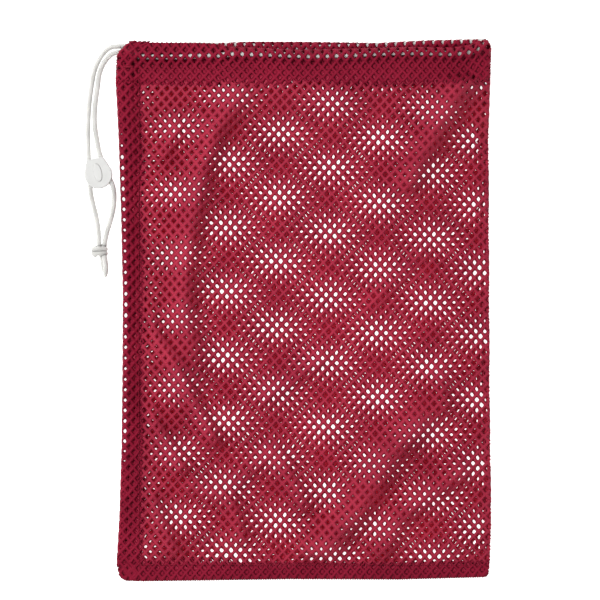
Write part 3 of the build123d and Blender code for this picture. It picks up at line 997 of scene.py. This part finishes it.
def in_panel(half, u, v):
    """Whether it is in the panel, with the margins that the strips cover."""
    inside = (u > SEAM_X - OVERLAP) & (v > HEM_Y - OVERLAP) & (v < FLAP_Y + OVERLAP)
    return inside & in_width(half, u, v)


def in_casing(half, u, v):
    """Whether it is in the casing, from its one edge over the mouth to its other."""
    return in_width(half, u, v) & (v > FLAP_Y - LAP) & (v < 2 * half.mouth(u) - FLAP_Y)


def in_bottom(half, u, v):
    """Whether it is in the bottom strip, its turned part included."""
    return in_width(half, u, v) & (v < HEM_Y + LAP) & (v > bottom_edge(u) - BOTTOM_TURN)


def in_side(half, u, v):
    """Whether it is in the side strip, its turned part included."""
    across_strip = (u < SEAM_X + LAP) & (u > side_left(v) + half.inset - SIDE_TURN)
    return across_strip & (v > HEM_Y - LAP) & (v < FLAP_Y + LAP)


def panel_place(half):
    """A panel's margins lie inside the strips that are sewn over them."""

    def place(u, v):
        points = half.place(u, v)
        points[..., 2] += half.inward * tucked(points[..., 0], points[..., 1])
        return points

    return place


def add_cloth(half, part, grain, place, chosen, material, seed):
    """One piece of the sheet: the cells whose middles are chosen."""
    cells = every_cell()
    fold_lines = (half.mouth, half.inset, half.fold_inset)
    cells = cells[chosen(half, *grain(*even_places(cells)))]
    points, faces = cloth(cells, grain, place, fold_lines, half.keeps, seed)
    piece = add_piece(f"{half.name}_{part}_mesh", points, faces, material, "mesh", "bag")
    return piece


def make_half(half, single, doubled_shaded):
    """One half of the sheet, as the pieces it is sewn into."""
    panel = add_cloth(
        half, "panel", panel_grain(half.row, half.rise), panel_place(half), in_panel,
        single, half.seed,
    )
    # The casing and the strips lie in two or more plies and get the darker copy of the crimson, which is
    # painted shade
    casing = add_cloth(
        half, "casing", edge_grain(half.mouth, half.shift), half.place, in_casing,
        doubled_shaded, half.seed + 1,
    )
    bottom = add_cloth(
        half, "bottom", edge_grain(bottom_edge, half.shift), half.place, in_bottom,
        doubled_shaded, half.seed + 2,
    )
    side = add_cloth(
        half, "side", side_grain(half.shift, half.slip, half.inset), half.place, in_side,
        doubled_shaded, half.seed + 3,
    )
    return panel, casing, bottom, side


def make_bag(single, doubled_shaded):
    """Both halves, and the nodes that their pieces stand for."""
    panel, casing, _, _ = make_half(BACK, single, doubled_shaded)
    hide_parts("mesh_back_panel")
    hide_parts("casing_back", "casing_exit_corner")
    panel, casing, bottom, side = make_half(FRONT, single, doubled_shaded)
    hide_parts("mesh_front_panel", "side_fold")
    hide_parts("casing_front", "casing_fold_corner")
    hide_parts("bottom_seam_allowance")
    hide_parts("side_seam_allowance")


# Thread

TACK_TURNS = 16
TACK_R = 0.3
THREAD_R = 0.24
THREAD_LIFT = 0.15  # from the cloth's surface to a stitch's middle
TACK_LIFT = 0.2


def stitch(start, end, radius=THREAD_R, around=8, rings=7):
    """One stitch: a short arched length of thread that dips into the cloth at both ends."""
    t = np.linspace(0, 1, rings)
    line = np.array(start) + (np.array(end) - np.array(start)) * t[:, None]
    line[:, 2] += radius * (1.4 * np.sin(pi * t) - 0.5)
    size = radius * np.sqrt(np.clip(1 - (2 * t - 1) ** 4, 0.1, 1))
    return tube(line, size[:, None], around), ring_faces(rings, around)


def front_surface(x, y):
    """Top of the cloth."""
    return float(front_height(x, y, 0.0)) + PLY / 2


def back_surface(x, y):
    """Top of the back's casing, inside the bag."""
    return float(back_height(x, y, 1.0)) + PLY / 2


def stitch_row(path, surface, pitch=3.0, gap=0.5):
    """Lockstitches along a line in the plan, lying on a surface."""
    line, _ = evenly(np.column_stack([np.array(path, float), np.zeros(len(path))]), pitch)
    parts = []
    for a, b in zip(line, line[1:]):
        way = (b - a) / np.linalg.norm(b - a)
        ends = [(x, y, surface(x, y) + THREAD_LIFT) for x, y, _ in (a + way * gap / 2, b - way * gap / 2)]
        parts.append(stitch(*ends))
    return joined(parts)


def tack():
    """A zigzag of thread across the casing's left end, which holds it where the cord comes out."""
    low, high = corners_of("cord_exit_tack")
    points = []
    for k, x in enumerate(np.linspace(low[0], high[0], TACK_TURNS + 1)):
        y = high[1] if k % 2 else low[1]
        points.append((x, y, front_surface(x, y) + TACK_LIFT))
    return joined([stitch(*ends, radius=TACK_R) for ends in zip(points, points[1:])])


def make_thread(material):
    """Every seam's row of stitches, and the tack."""
    seam_x, seam_y = SEAM_X - 1.5, HEM_Y - 1.5
    side_line = [(seam_x, seam_y), (seam_x - 0.6, 0), (seam_x, SEAM_Y)]
    bottom_line = [(seam_x, seam_y), (0, seam_y + 0.5), (PANEL_HIGH[0], seam_y)]
    casing_line = [(LEFT + 3, SEAM_Y + 0.8), (RIGHT - 3, SEAM_Y + 0.8)]
    rows = [
        ("side_seam_stitch", side_line, front_surface),
        ("bottom_seam_stitch", bottom_line, front_surface),
        ("casing_stitch_front", casing_line, front_surface),
        ("casing_stitch_back", casing_line, back_surface),
    ]
    for name, path, surface in rows:
        add_piece(name + "_thread", *stitch_row(path, surface), material, "thread", "bag", [name])
    add_piece("cord_exit_tack_thread", *tack(), material, "thread", "bag", ["cord_exit_tack"])


def finish_lock(plastic, steel):
    """The lock keeps its own shape and gets a better finish."""
    for name in LOCK_NODES:
        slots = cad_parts[name].data.materials
        slots.clear()
        slots.append(steel if name == "lock_spring" else plastic)


make_camera()
make_cords(cord_material())
make_lights()
make_floor()
# Painted shade: the cloth in two or more plies gets the darker copy of the crimson, and lets less light
# through
make_bag(
    mesh_material("crimson_mesh", SINGLE_TONES, see_through=0.45),
    mesh_material("crimson_mesh_doubled_shaded", DOUBLED_SHADED_TONES, see_through=0.28),
)
make_thread(thread_material())
finish_lock(plastic_material(), steel_material())
